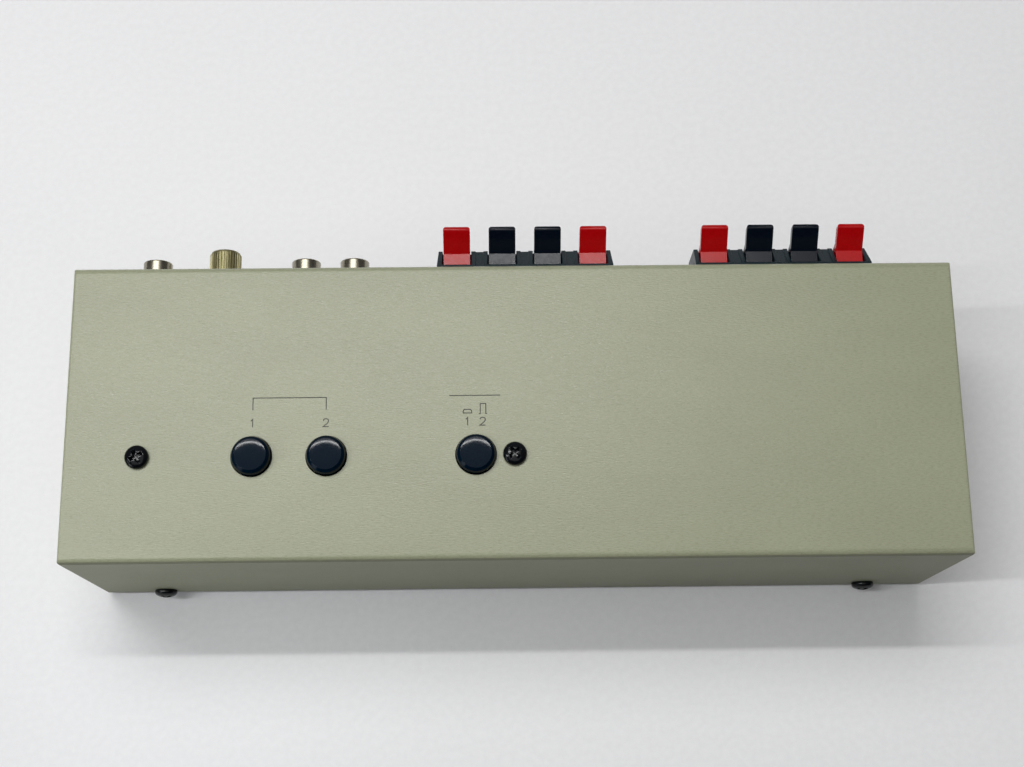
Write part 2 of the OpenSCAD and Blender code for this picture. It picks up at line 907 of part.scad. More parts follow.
// A leaf of spring metal behind each port: its tail is the solder tag, its tip bears on the lever's heel
module contact_springs() {
    tip_u = pivot_u - heel_half - fit_gap;
    tip_v = heel_v + leaf_rise;
    bend_v = heel_v - leaf_drop;
    color([0.8, 0.7, 0.4])
        for (b = [0, 1], r = [0 : rows - 1], i = [0 : levers - 1])
            at_row(b, r)
                translate([lever_x(i), 0, 0])
                    across(contact_w)
                        polygon([[tag_us[r], cavity_low_v], [leaf_u, cavity_low_v],
                            [leaf_u + contact_t, bend_v], [tip_u, tip_v],
                            [tip_u, tip_v + contact_t], [leaf_u, bend_v + contact_t],
                            [leaf_u - contact_t, cavity_low_v + contact_t],
                            [tag_us[r], cavity_low_v + contact_t]]);
}

// A bundle along the back, a branch forward from it and a riser to the circuit board
module bundle(from_x, to_x, y, radius, branch_x) {
    riser_h = top_z + board_z - bundle_z;
    translate([from_x, y, bundle_z])
        rotate([0, 90, 0])
            cylinder(r = radius, h = to_x - from_x);
    translate([branch_x, y, bundle_z])
        rotate([90, 0, 0])
            cylinder(r = 0.9 * radius, h = y - branch_y);
    translate([branch_x, branch_y, bundle_z])
        cylinder(r = 0.8 * radius, h = riser_h);
}

// A lead that runs forward from a tag and drops into a bundle
module lead(x, y, z, reach) {
    translate([x, y, z])
        rotate([90, 0, 0])
            cylinder(r = lead_r, h = reach);
    translate([x, y - reach, bundle_z])
        cylinder(r = drop_r, h = z + drop_r - bundle_z);
}

module signal_wires() {
    color([0.3, 0.3, 0.32]) {
        bundle(input_x - 2, jack_xs[2] + 2, signal_bundle_y, signal_bundle_r, signal_branch_x);
        for (x = jack_xs, r = [0, 1])
            lead(x, wall_y + tail_y, jack_z(r), lead_reach[r]);
        lead(post_x, wall_y + lug_y, mid_z - lug_tail_h + 2, wall_y + lug_y - signal_bundle_y);
    }
}

module speaker_wires() {
    color([0.2, 0.2, 0.22]) {
        bundle(speaker_branch_x - 2, block_xs[1] + lever_x(levers - 1) + 2, speaker_bundle_y,
            speaker_bundle_r, speaker_branch_x);
        for (b = [0, 1], r = [0 : rows - 1], i = [0 : levers - 1])
            translate([block_xs[b] + lever_x(i), wall_y + tag_us[r] + 1, bundle_z])
                cylinder(r = drop_r, h = row_z(r) + cavity_low_v - bundle_z);
    }
}

in_frame() top_case();
in_frame() base_plate();
in_frame() case_screws();
in_frame() rubber_feet();
for (i = [0 : len(button_names) - 1]) {
    in_frame() button_cap(i);
    in_frame() plunger(i);
    in_frame() return_spring(i);
    in_frame() switch_body(i);
}
in_frame() switch_frame();
in_frame() latch_bar();
in_frame() switch_screws();
in_frame() switch_pins();
in_frame() circuit_board();
in_frame() jack_board([input_x], input_x);  // input_jack_board
in_frame() jack_board([jack_xs[1], jack_xs[2]], output_x);  // output_jack_board
in_frame() jack_rivets();
for (i = [0 : len(jack_names) - 1])
    in_frame() jack_shell(i);
in_frame() left_insulators();
in_frame() right_insulators();
in_frame() jack_contacts();
in_frame() ground_post();
in_frame() ground_hex_nut();
in_frame() ground_washer();
in_frame() ground_nut();
in_frame() ground_lug();
in_frame() terminal_block(0);  // terminal_block_left
in_frame() terminal_block(1);  // terminal_block_right
for (i = [0 : 2 * rows * levers - 1])
    in_frame() lever(i);
in_frame() contact_springs();
in_frame() terminal_screws();
in_frame() signal_wires();
in_frame() speaker_wires();
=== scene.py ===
"""The selector box as it looks: each piece that shows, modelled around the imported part, in metres."""

import json
import math

import bmesh
import bpy
from mathutils import Matrix, Vector


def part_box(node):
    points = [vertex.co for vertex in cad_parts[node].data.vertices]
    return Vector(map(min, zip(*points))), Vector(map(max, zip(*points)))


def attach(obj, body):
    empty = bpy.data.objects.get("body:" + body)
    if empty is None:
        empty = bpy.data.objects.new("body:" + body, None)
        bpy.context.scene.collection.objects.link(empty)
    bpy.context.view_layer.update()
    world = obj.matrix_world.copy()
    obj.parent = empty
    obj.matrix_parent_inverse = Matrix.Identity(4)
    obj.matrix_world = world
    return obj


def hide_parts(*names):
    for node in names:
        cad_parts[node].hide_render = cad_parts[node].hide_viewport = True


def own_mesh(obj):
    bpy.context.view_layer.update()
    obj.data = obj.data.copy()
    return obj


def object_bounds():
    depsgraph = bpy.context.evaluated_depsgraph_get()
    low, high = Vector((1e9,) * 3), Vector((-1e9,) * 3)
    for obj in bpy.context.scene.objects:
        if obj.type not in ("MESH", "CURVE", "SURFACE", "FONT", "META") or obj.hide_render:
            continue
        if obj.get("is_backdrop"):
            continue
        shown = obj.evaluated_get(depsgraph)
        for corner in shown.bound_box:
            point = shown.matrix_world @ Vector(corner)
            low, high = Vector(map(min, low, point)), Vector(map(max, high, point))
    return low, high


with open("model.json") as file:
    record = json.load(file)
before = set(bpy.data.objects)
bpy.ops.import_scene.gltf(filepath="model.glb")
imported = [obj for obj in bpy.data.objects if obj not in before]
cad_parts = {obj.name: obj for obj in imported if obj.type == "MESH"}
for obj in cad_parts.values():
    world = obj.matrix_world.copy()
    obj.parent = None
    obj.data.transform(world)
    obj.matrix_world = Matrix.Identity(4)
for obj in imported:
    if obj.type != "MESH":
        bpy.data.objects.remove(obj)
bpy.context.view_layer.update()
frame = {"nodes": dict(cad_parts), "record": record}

MM = 0.001

# Camera, solved from the case's edges
CAMERA_AT = Vector((-6.5, -109.3, 472.4)) * MM
CAMERA_AIM = Vector((-0.9, 1.0, 59.0)) * MM
CAMERA_ROLL = math.radians(2.27)
LENS = 55.59
SENSOR = 36.0

# Names of the pieces that repeat
BUTTONS = ("a", "b", "c")
JACKS = ("in_1", "in_2", "out_1", "out_2", "out_3", "out_4")
SIDES = ("left", "right")
LEVERS = sorted(name for name in frame["nodes"] if name.startswith("lever_"))

# The case's outside, and the radius of its long folds
FOLD = 2.0 * MM
CASE_LOW, CASE_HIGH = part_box("top_case")
TOP = CASE_HIGH.z
BACK = CASE_HIGH.y
FRONT = CASE_LOW.y

# The ways that a piece built along +Z can point
UP = Matrix.Identity(4)
OUT_OF_BACK = Matrix.Rotation(math.radians(-90), 4, "X")
OUT_OF_FRONT = Matrix.Rotation(math.radians(90), 4, "X")

# Tolerances of the mesh work
ON_AXIS = 0.001 * MM
WELD = 0.0016 * MM
NEAR = 0.16 * MM
FLAT = math.radians(0.5)

# Roundings that small turned pieces share
THIN_EDGE = 0.08 * MM
FINE_EDGE = 0.1 * MM
SOFT_EDGE = 0.15 * MM
BLUNT_EDGE = 0.25 * MM


# Meshes

def mid(low, high):
    """The middle of a box."""
    return (low + high) / 2


def extent(points):
    """Lowest and highest corner of the box around some points."""
    spans = list(zip(*points))
    return Vector(map(min, spans)), Vector(map(max, spans))


def extent_before(node, y):
    """Lowest and highest corner of what a CAD node holds in front of the plane at y."""
    return extent(v.co for v in frame["nodes"][node].data.vertices if v.co.y < y)


def copied(node):
    """A copy of a CAD node's mesh, with its corners welded."""
    bm = bmesh.new()
    bm.from_mesh(frame["nodes"][node].data)
    bmesh.ops.remove_doubles(bm, verts=bm.verts, dist=WELD)
    return bm


def solids(node):
    """(lowest, highest) corner of each separate solid of a CAD node, from left to right."""
    bm = copied(node)
    left = set(bm.verts)
    boxes = []
    while left:
        edge = {left.pop()}
        island = set(edge)
        while edge:
            edge = {e.other_vert(v) for v in edge for e in v.link_edges} & left
            left -= edge
            island |= edge
        boxes.append(extent(v.co for v in island))
    bm.free()
    return sorted(boxes, key=lambda box: [round(c, 6) for c in box[0]])


def rounded(corners, steps=6, closed=False):
    """Points of a path through (x, y, radius) corners, each corner rounded by an arc of its radius."""
    points = []
    last = len(corners) - 1
    for i, (x, y, radius) in enumerate(corners):
        here = Vector((x, y))
        if radius == 0 or (not closed and i in (0, last)):
            points.append(here)
            continue
        before = (Vector(corners[i - 1][:2]) - here).normalized()
        after = (Vector(corners[(i + 1) % len(corners)][:2]) - here).normalized()
        half = before.angle(after) / 2
        centre = here + (before + after).normalized() * radius / math.sin(half)
        start = here + before * radius / math.tan(half) - centre
        end = here + after * radius / math.tan(half) - centre
        sweep = math.atan2(start.x * end.y - start.y * end.x, start.dot(end))
        for k in range(steps + 1):
            points.append(centre + Matrix.Rotation(sweep * k / steps, 2) @ start)
    return points


def bridge(bm, one, two):
    """Faces between two rings of points, either of which may be a single point."""
    count = max(len(one), len(two))
    for i in range(count):
        j = (i + 1) % count
        corners = [one[i % len(one)], one[j % len(one)], two[j % len(two)], two[i % len(two)]]
        bm.faces.new(list(dict.fromkeys(corners)))


def lathe(profile, segments=72, closed=False, radius=None):
    """A surface of revolution about Z through (radius, height) points. radius(angle, r) may vary it."""
    bm = bmesh.new()
    rings = []
    for r, z in profile:
        if r < ON_AXIS:
            rings.append([bm.verts.new((0, 0, z))])
            continue
        ring = []
        for k in range(segments):
            a = 2 * math.pi * k / segments
            reach = radius(a, r) if radius else r
            ring.append(bm.verts.new((reach * math.cos(a), reach * math.sin(a), z)))
        rings.append(ring)
    pairs = list(zip(rings, rings[1:]))
    if closed:
        pairs.append((rings[-1], rings[0]))
    for one, two in pairs:
        if len(one) + len(two) > 2:
            bridge(bm, one, two)
    bmesh.ops.recalc_face_normals(bm, faces=bm.faces)
    return bm


def prism(outline, low, high):
    """A solid with that outline in X and Y, from low to high along Z."""
    bm = bmesh.new()
    rings = [[bm.verts.new((x, y, z)) for x, y in outline] for z in (low, high)]
    bm.faces.new(rings[0])
    bm.faces.new(rings[1])
    bridge(bm, *rings)
    bmesh.ops.recalc_face_normals(bm, faces=bm.faces)
    return bm


def block(low, high):
    """A box between two corners."""
    return prism([(low.x, low.y), (high.x, low.y), (high.x, high.y), (low.x, high.y)], low.z, high.z)


def solid(bm, place=UP, name="scratch"):
    """An object from a bmesh, whose mesh is moved to its place."""
    mesh = bpy.data.meshes.new(name)
    bm.transform(place)
    bm.to_mesh(mesh)
    bm.free()
    made = bpy.data.objects.new(name, mesh)
    bpy.context.scene.collection.objects.link(made)
    return made


def settle(made):
    """Bakes an object's modifiers into its mesh."""
    graph = bpy.context.evaluated_depsgraph_get()
    mesh = bpy.data.meshes.new_from_object(made.evaluated_get(graph))
    old = made.data
    made.modifiers.clear()
    made.data = mesh
    bpy.data.meshes.remove(old)
    return made


def combine(made, others, how="DIFFERENCE"):
    """Cuts an object with others, or keeps what it shares with them. The others are used up."""
    for other in others:
        step = made.modifiers.new("combine", "BOOLEAN")
        step.operation = how
        step.solver = "EXACT"
        step.object = other
        settle(made)
        bpy.data.objects.remove(other)
    return made


def smooth(made, angle=32):
    """Smooth shading that breaks at edges sharper than angle, in degrees."""
    made.data.shade_smooth()
    made.data.set_sharp_from_angle(angle=math.radians(angle))
    return made


def soften(made, width, segments=3, angle=35):
    """Rounds an object's edges sharper than angle, in degrees, and keeps its flats flat."""
    bevel = made.modifiers.new("soften", "BEVEL")
    bevel.width = width
    bevel.segments = segments
    bevel.limit_method = "ANGLE"
    bevel.angle_limit = math.radians(angle)
    bevel.miter_outer = "MITER_ARC"
    bevel.use_clamp_overlap = True
    settle(made)
    made.data.shade_smooth()
    weigh = made.modifiers.new("weigh", "WEIGHTED_NORMAL")
    weigh.keep_sharp = True
    return settle(made)


def softened(node, width, pierced=False):
    """A copy of a CAD node with its edges rounded. Pierced flats are first split into convex faces."""
    bm = copied(node)
    bmesh.ops.dissolve_limit(bm, angle_limit=FLAT, verts=bm.verts, edges=bm.edges)
    if pierced:
        bmesh.ops.connect_verts_concave(bm, faces=bm.faces)
    bmesh.ops.recalc_face_normals(bm, faces=bm.faces)
    return soften(solid(bm), width)


def within(node, low, high):
    """A copy of the solid of a CAD node that lies in a box."""
    bm = copied(node)
    far = [v for v in bm.verts if any(not low[k] - NEAR < v.co[k] < high[k] + NEAR for k in range(3))]
    bmesh.ops.delete(bm, geom=far, context="VERTS")
    return smooth(solid(bm))


def group(made):
    """Several objects joined into one mesh."""
    bm = bmesh.new()
    for one in made:
        bm.from_mesh(one.data)
        bpy.data.objects.remove(one)
    return solid(bm)


# Finishes

FINISHES = {}

# The range that a noise mostly keeps to
NOISE_LOW = 0.3
NOISE_HIGH = 0.7

# A Mix node's inputs and output for colours and for plain values
COLOUR_A, COLOUR_B, COLOUR_OUT = 6, 7, 2
VALUE_A, VALUE_B, VALUE_OUT = 2, 3, 0

# The case's lacquer: streaks of the brush, specks, broad clouds, duller walls painted darker as shade, and a
# front fold painted darker half-way down as shade for its dark reflection
HAIR_WIDE = 0.26 * MM
HAIR_STRETCH = (5, 1, 1)
HAIR_DARK = (0.299, 0.312, 0.206)
HAIR_LIGHT = (0.333, 0.346, 0.231)
HAIR_ROUGH = (0.22, 0.40)
HAIR_BUMP = 0.2
SPECK_SIZE = 0.35 * MM
SPECK_SHADE = 0.96
CLOUD_SIZE = 16 * MM
CLOUD_STRETCH = (2.2, 1, 1)
CLOUD_SHADE = 0.95
# The next factor paints shade on the case's walls, making them darker than the top
WALL_PAINTED_SHADE = 0.8
WALL_ROUGH = 0.55
# The next factor paints the front fold's dark reflection as shade half-way down the fold
FOLD_PAINTED_SHADE = 0.6
LACQUER_GLOSS = 0.4


def blank(name):
    """The node tree and the shader of a new finish."""
    material = bpy.data.materials.new(name)
    material.use_nodes = True
    FINISHES[name] = material
    return material.node_tree, material.node_tree.nodes["Principled BSDF"]


def add(tree, kind, settings=None, **sockets):
    """Adds a shader node, with its settings and its sockets' values or links."""
    node = tree.nodes.new("ShaderNode" + kind)
    for key, value in (settings or {}).items():
        setattr(node, key, value)
    for key, value in sockets.items():
        socket = node.inputs[key.replace("_", " ")]
        if isinstance(value, bpy.types.NodeSocket):
            tree.links.new(value, socket)
        else:
            socket.default_value = value
    return node


def grain(tree, size, stretch=(1, 1, 1), detail=4):
    """Noise with features about size across, drawn out along each axis by stretch."""
    place = add(tree, "TexCoord").outputs["Object"]
    scale = [1 / (size * s) for s in stretch]
    spread = add(tree, "Mapping", Vector=place, Scale=scale).outputs["Vector"]
    return add(tree, "TexNoise", Vector=spread, Scale=1.0, Detail=detail).outputs["Fac"]


def tones(tree, factor, dark, light, low=0.35, high=0.65):
    """Colours from dark to light as factor goes from low to high."""
    scale = add(tree, "ValToRGB", Fac=factor)
    for stop, position, colour in zip(scale.color_ramp.elements, (low, high), (dark, light)):
        stop.position = position
        stop.color = (*colour, 1)
    return scale.outputs["Color"]


def ramp(tree, value, start, end):
    """A factor that goes from 0 to 1 as a value goes from start to end."""
    return add(tree, "MapRange", Value=value, From_Min=start, From_Max=end).outputs["Result"]


def span(tree, factor, low, high):
    """A value from low to high as a noise goes over its usual range."""
    spread = add(tree, "MapRange", Value=factor, From_Min=NOISE_LOW, From_Max=NOISE_HIGH,
                 To_Min=low, To_Max=high)
    return spread.outputs["Result"]


def larger(tree, one, two):
    """The larger of two values."""
    pick = add(tree, "Math", {"operation": "MAXIMUM"})
    tree.links.new(one, pick.inputs[0])
    tree.links.new(two, pick.inputs[1])
    return pick.outputs[0]


def tinted(tree, colour, factor, dark):
    """A colour that factor shades, down to dark times itself."""
    shade = tones(tree, factor, (dark, dark, dark), (1, 1, 1))
    mix = add(tree, "Mix", {"data_type": "RGBA", "blend_type": "MULTIPLY"}, Factor=1.0)
    tree.links.new(colour, mix.inputs[COLOUR_A])
    tree.links.new(shade, mix.inputs[COLOUR_B])
    return mix.outputs[COLOUR_OUT]


def coat(tree, shader, colour, rough, relief, bump, size):
    """Gives a shader its colour, its roughness and the relief of a grain of that size."""
    tree.links.new(colour, shader.inputs["Base Color"])
    tree.links.new(rough, shader.inputs["Roughness"])
    raised = add(tree, "Bump", Strength=bump, Distance=size, Height=relief)
    tree.links.new(raised.outputs["Normal"], shader.inputs["Normal"])


def finish(name, dark, light, rough, size, bump, stretch=(1, 1, 1), mottle=0.93, spread=30, **values):
    """A finish whose colour, roughness and surface vary with a fine grain and a broad one."""
    tree, shader = blank(name)
    fine = grain(tree, size, stretch)
    broad = grain(tree, size * spread, detail=3)
    colour = tinted(tree, tones(tree, fine, dark, light), broad, mottle)
    coat(tree, shader, colour, span(tree, fine, *rough), fine, bump, size)
    for key, value in values.items():
        shader.inputs[key.replace("_", " ")].default_value = value


def brushed_case():
    """Satin lacquer over metal brushed along X, with duller walls painted darker as shade, and painted shade
    half-way down the front fold for its dark reflection.
    """
    tree, shader = blank("case_paint")
    hair = grain(tree, HAIR_WIDE, HAIR_STRETCH, detail=3)
    speck = grain(tree, SPECK_SIZE, detail=2)
    cloud = grain(tree, CLOUD_SIZE, CLOUD_STRETCH, detail=5)
    place = add(tree, "SeparateXYZ", Vector=add(tree, "TexCoord").outputs["Object"])
    height = place.outputs["Z"]
    # Masks for the painted shade: the first marks the top against the walls and also sets the walls'
    # roughness; the rest mark the middle of the front fold
    flat = ramp(tree, height, TOP - 1.1 * FOLD, TOP - 0.2 * FOLD)
    above = ramp(tree, height, TOP - 0.5 * FOLD, TOP - 0.1 * FOLD)
    below = ramp(tree, height, TOP - 0.5 * FOLD, TOP - FOLD)
    behind = ramp(tree, place.outputs["Y"], FRONT, FRONT + 2 * FOLD)
    off_fold = larger(tree, larger(tree, above, below), behind)
    colour = tones(tree, hair, HAIR_DARK, HAIR_LIGHT)
    colour = tinted(tree, colour, speck, SPECK_SHADE)
    colour = tinted(tree, colour, cloud, CLOUD_SHADE)
    # Painted shade: the walls are painted darker than the top
    colour = tinted(tree, colour, flat, WALL_PAINTED_SHADE)
    # Painted shade: the middle of the front fold is painted darker, standing for its dark reflection
    colour = tinted(tree, colour, off_fold, FOLD_PAINTED_SHADE)
    rough = add(tree, "Mix", {"data_type": "FLOAT"}, Factor=flat)
    rough.inputs[VALUE_A].default_value = WALL_ROUGH
    tree.links.new(span(tree, hair, *HAIR_ROUGH), rough.inputs[VALUE_B])
    coat(tree, shader, colour, rough.outputs[VALUE_OUT], hair, HAIR_BUMP, HAIR_WIDE)
    shader.inputs["Specular IOR Level"].default_value = LACQUER_GLOSS


def piece(name, made, body, look, nodes=()):
    """Names an object, gives it its finish, ties it to its body and hides the CAD nodes it stands for."""
    made.name = name
    made.data.name = name
    made.data.materials.clear()
    made.data.materials.append(FINISHES[look])
    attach(made, body)
    if nodes:
        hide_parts(*nodes)
    return made


brushed_case()
finish("base_metal", dark=(0.33, 0.33, 0.30), light=(0.40, 0.40, 0.37), rough=(0.40, 0.55),
       size=0.8 * MM, bump=0.10, Metallic=0.6)
finish("black_screw", dark=(0.002, 0.003, 0.004), light=(0.004, 0.005, 0.007), rough=(0.10, 0.16),
       size=0.4 * MM, bump=0.03, Specular_IOR_Level=0.3)
finish("rubber", dark=(0.010, 0.010, 0.010), light=(0.022, 0.022, 0.022), rough=(0.65, 0.85),
       size=0.3 * MM, bump=0.25)
finish("button_plastic", dark=(0.0005, 0.005, 0.013), light=(0.001, 0.008, 0.018), rough=(0.06, 0.09),
       size=0.5 * MM, bump=0.003, Specular_IOR_Level=0.12)
finish("ivory_plastic", dark=(0.60, 0.56, 0.45), light=(0.68, 0.64, 0.53), rough=(0.35, 0.5),
       size=0.6 * MM, bump=0.05)
finish("brown_plastic", dark=(0.06, 0.03, 0.012), light=(0.09, 0.045, 0.02), rough=(0.4, 0.55),
       size=0.5 * MM, bump=0.10)
finish("plated_steel", dark=(0.50, 0.50, 0.48), light=(0.66, 0.66, 0.63), rough=(0.28, 0.42),
       size=0.5 * MM, bump=0.06, Metallic=1.0)
finish("tinned_brass", dark=(0.56, 0.47, 0.27), light=(0.70, 0.60, 0.38), rough=(0.25, 0.4),
       size=0.5 * MM, bump=0.06, Metallic=1.0)
finish("phenolic", dark=(0.17, 0.075, 0.02), light=(0.26, 0.12, 0.035), rough=(0.35, 0.5),
       size=0.4 * MM, bump=0.12, stretch=(6, 1, 1))
finish("nickel", dark=(0.36, 0.335, 0.26), light=(0.42, 0.39, 0.31), rough=(0.24, 0.30),
       size=0.6 * MM, bump=0.012, stretch=(1, 5, 1), mottle=0.94, spread=8, Metallic=1.0)
finish("aged_brass", dark=(0.26, 0.24, 0.125), light=(0.34, 0.31, 0.17), rough=(0.42, 0.50),
       size=0.7 * MM, bump=0.02, stretch=(1, 6, 1), mottle=0.90, spread=6, Metallic=1.0)
finish("white_plastic", dark=(0.70, 0.68, 0.62), light=(0.78, 0.76, 0.70), rough=(0.3, 0.42),
       size=0.5 * MM, bump=0.04)
finish("red_plastic", dark=(0.30, 0.008, 0.010), light=(0.38, 0.012, 0.014), rough=(0.3, 0.42),
       size=0.5 * MM, bump=0.04)
finish("terminal_plastic", dark=(0.008, 0.018, 0.023), light=(0.011, 0.022, 0.028), rough=(0.26, 0.34),
       size=0.6 * MM, bump=0.02, Specular_IOR_Level=0.06)
finish("lever_red", dark=(0.37, 0.001, 0.002), light=(0.42, 0.002, 0.004), rough=(0.20, 0.27),
       size=0.6 * MM, bump=0.012, Specular_IOR_Level=0.22)
finish("lever_black", dark=(0.001, 0.003, 0.008), light=(0.002, 0.005, 0.011), rough=(0.20, 0.27),
       size=0.6 * MM, bump=0.012, Specular_IOR_Level=0.22)
finish("ink", dark=(0.028, 0.028, 0.022), light=(0.055, 0.055, 0.045), rough=(0.5, 0.7),
       size=0.15 * MM, bump=0.05, mottle=0.8)
finish("wire_cover", dark=(0.02, 0.02, 0.022), light=(0.035, 0.035, 0.038), rough=(0.4, 0.55),
       size=0.5 * MM, bump=0.08)
finish("table", dark=(0.80, 0.80, 0.81), light=(0.83, 0.83, 0.84), rough=(0.5, 0.6),
       size=2 * MM, bump=0.01, mottle=0.99)


# The case and its base

SHEET = 1.2 * MM
CORNER = 0.9 * MM
INNER_CORNER = CORNER / 3
SEAM = 0.16 * MM
BUTTON_GAP = 0.35 * MM
JACK_GAP = 0.3 * MM
BASE_EDGE = 0.2 * MM

# How far a block that only trims another runs past it
PAST = 10 * MM

# Lay a prism down: its outline's X and Y, and its length, go to Y, Z and X, or to X, Z and Y
LENGTH_ALONG_X = Matrix(((0, 0, 1, 0), (1, 0, 0, 0), (0, 1, 0, 0), (0, 0, 0, 1)))
LENGTH_ALONG_Y = Matrix(((1, 0, 0, 0), (0, 0, 1, 0), (0, 1, 0, 0), (0, 0, 0, 1)))


def arch(low, high, floor, top, radius):
    """The outline of a wall, a fold, a flat top, a fold and a wall."""
    return rounded([(low, floor, 0), (low, top, radius), (high, top, radius), (high, floor, 0)], steps=12)


def folded_block(inset, floor, radius, corner):
    """The box inside the case's outer or inner faces: folds at front and back, tighter edges at its ends."""
    low = CASE_LOW + Vector((inset, inset, 0))
    high = CASE_HIGH - Vector((inset, inset, inset))
    side = arch(low.y, high.y, floor, high.z, radius)
    along = solid(prism(side, low.x - PAST, high.x + PAST), LENGTH_ALONG_X)
    face = arch(low.x, high.x, floor - PAST, high.z, corner)
    across = solid(prism(face, low.y - PAST, high.y + PAST), LENGTH_ALONG_Y)
    plan = rounded([(low.x, low.y, corner), (high.x, low.y, corner), (high.x, high.y, corner),
                    (low.x, high.y, corner)], steps=5, closed=True)
    upright = solid(prism(plan, floor - 2 * PAST, high.z + PAST))
    return combine(along, [across, upright], "INTERSECT")


def drill(radius, place):
    """A cutter for a round hole through the sheet, whose outer face is at place."""
    reach = 2 * SHEET
    return solid(lathe([(0, -reach), (radius, -reach), (radius, reach), (0, reach)]), place)


def case_cutters():
    """What is cut out of the case's sheet: round holes, windows for the terminals and slits at its ends."""
    cutters = []
    for b in BUTTONS:
        low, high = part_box("button_cap_" + b)
        middle = mid(low, high)
        middle.z = TOP
        cutters.append(drill((high.x - low.x) / 2 + BUTTON_GAP, Matrix.Translation(middle)))
    for j in JACKS:
        low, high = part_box("jack_shell_" + j)
        middle = mid(low, high)
        middle.y = BACK
        cutters.append(drill((high.x - low.x) / 2 + JACK_GAP, Matrix.Translation(middle) @ OUT_OF_BACK))
    for side in SIDES:
        low, high = extent_before("terminal_block_" + side, BACK - SHEET / 2)
        low.y = BACK - 2 * SHEET
        high.y = BACK + SHEET
        cutters.append(solid(block(low, high)))
    for x in (CASE_LOW.x, CASE_HIGH.x):
        for y in (FRONT + SHEET, BACK - SHEET):
            reach = Vector((SEAM * 2, SEAM / 2, 0))
            low = Vector((x, y, CASE_LOW.z - SHEET)) - reach
            high = Vector((x, y, TOP - CORNER)) + reach
            cutters.append(solid(block(low, high)))
    return cutters


case = folded_block(0, CASE_LOW.z, FOLD, CORNER)
combine(case, [folded_block(SHEET, CASE_LOW.z - SHEET, FOLD - SHEET, INNER_CORNER)])
combine(case, case_cutters())
piece("case_shell", smooth(case), "case", "case_paint", ["top_case"])
piece("base_tray", softened("base_plate", BASE_EDGE), "case", "base_metal", ["base_plate"])


# Plain marks on the top: numerals, brackets and the signs of a button pressed and let out

INK_WIDE = 0.26 * MM
INK_THICK = 0.012 * MM

# Each mark's path, in mm about its own place
ONE = [(-0.45, 0.55), (0.05, 1.1), (0.05, -1.1)]
TWO = [(-0.7, 0.5), (-0.6, 0.85), (-0.3, 1.07), (0.1, 1.1), (0.5, 0.95), (0.7, 0.6), (0.62, 0.2),
       (0.3, -0.25), (-0.75, -1.1), (0.75, -1.1)]
PRESSED = [(-1.15, -0.5), (1.15, -0.5), (1.15, 0.05), (0.85, 0.5), (-0.85, 0.5), (-1.15, 0.05),
           (-1.15, -0.5)]
LET_OUT = [(-1.1, -1.4), (-0.75, -1.4), (-0.75, 1.4), (0.75, 1.4), (0.75, -1.4), (1.1, -1.4)]
BRACKET = [(-9.85, -3.4), (-9.85, 0), (9.85, 0), (9.85, -3.4)]
RULE = [(-6.9, 0), (6.9, 0)]

# (path, x, y) of each mark on the top, in mm
MARKS = [(ONE, -70.7, -9.4), (TWO, -51.0, -9.4), (BRACKET, -60.85, -2.4),
         (ONE, -13.0, -9.4), (TWO, -8.9, -9.4), (PRESSED, -13.0, -6.6), (LET_OUT, -8.8, -5.9),
         (RULE, -11.0, -2.2)]


def stroke(path, x, y):
    """A line of print along a path, in mm about the point x, y on the case's top."""
    points = [Vector((x + px, y + py)) * MM for px, py in path]
    ways = [(b - a).normalized() for a, b in zip(points, points[1:])]
    left = []
    right = []
    for point, into, out in zip(points, ways[:1] + ways, ways + ways[-1:]):
        across = (into.orthogonal() + out.orthogonal()) / (1 + into.dot(out))
        left.append(point + across * INK_WIDE / 2)
        right.append(point - across * INK_WIDE / 2)
    return solid(prism(left + right[::-1], TOP - INK_THICK, TOP + INK_THICK))


piece("top_print", group([stroke(*mark) for mark in MARKS]), "case", "ink")


# Buttons

FACE_DOME = 0.075 * MM
FACE_STEPS = 16
FACE_EDGE = 0.12 * MM
SHOULDER = 1.0 * MM
SHOULDER_LOW = 0.75 * MM
SHOULDER_OUT = 0.25 * MM
SHOULDER_EDGE = 0.3 * MM
SKIRT_START = 1.5 * MM
SKIRT_BEND = 0.5 * MM
SKIRT_EDGE = 0.2 * MM
SKIRT_LIFT = 1.0 * MM
CAP_WALL = 1.3 * MM
CAP_ROOF = 1.8 * MM


def button_profile(low, high):
    """A cap with a domed face, a sloped shoulder and a skirt."""
    r = (high.x - low.x) / 2
    top = high.z
    bottom = low.z + SKIRT_LIFT
    face = r - SHOULDER
    shares = [k / FACE_STEPS for k in range(FACE_STEPS)] + [1 - 0.5 / FACE_STEPS]
    dome = [(face * share, top - FACE_DOME * share ** 4, 0) for share in shares]
    return rounded(dome + [
        (face, top - FACE_DOME, FACE_EDGE), (r - SHOULDER_OUT, top - SHOULDER_LOW, SHOULDER_EDGE),
        (r, top - SKIRT_START, SKIRT_BEND), (r, bottom, SKIRT_EDGE), (r - CAP_WALL, bottom, SKIRT_EDGE),
        (r - CAP_WALL, top - CAP_ROOF, SKIRT_EDGE), (0, top - CAP_ROOF, 0)])


for b in BUTTONS:
    low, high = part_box("button_cap_" + b)
    middle = mid(low, high)
    cap = solid(lathe(button_profile(low, high), segments=128), Matrix.Translation((middle.x, middle.y, 0)))
    piece("button_" + b, smooth(cap), "button_" + b, "button_plastic", ["button_cap_" + b])


# Screws

HEAD_R = 3.2 * MM
HEAD_H = 2.17 * MM
HEAD_EDGE = 0.8 * MM
HEAD_FOOT = 0.15 * MM
HEAD_STEPS = 12
HEAD_BREAK = 50
SHANK_R = 1.4 * MM
SHANK_LONG = 2.0 * MM

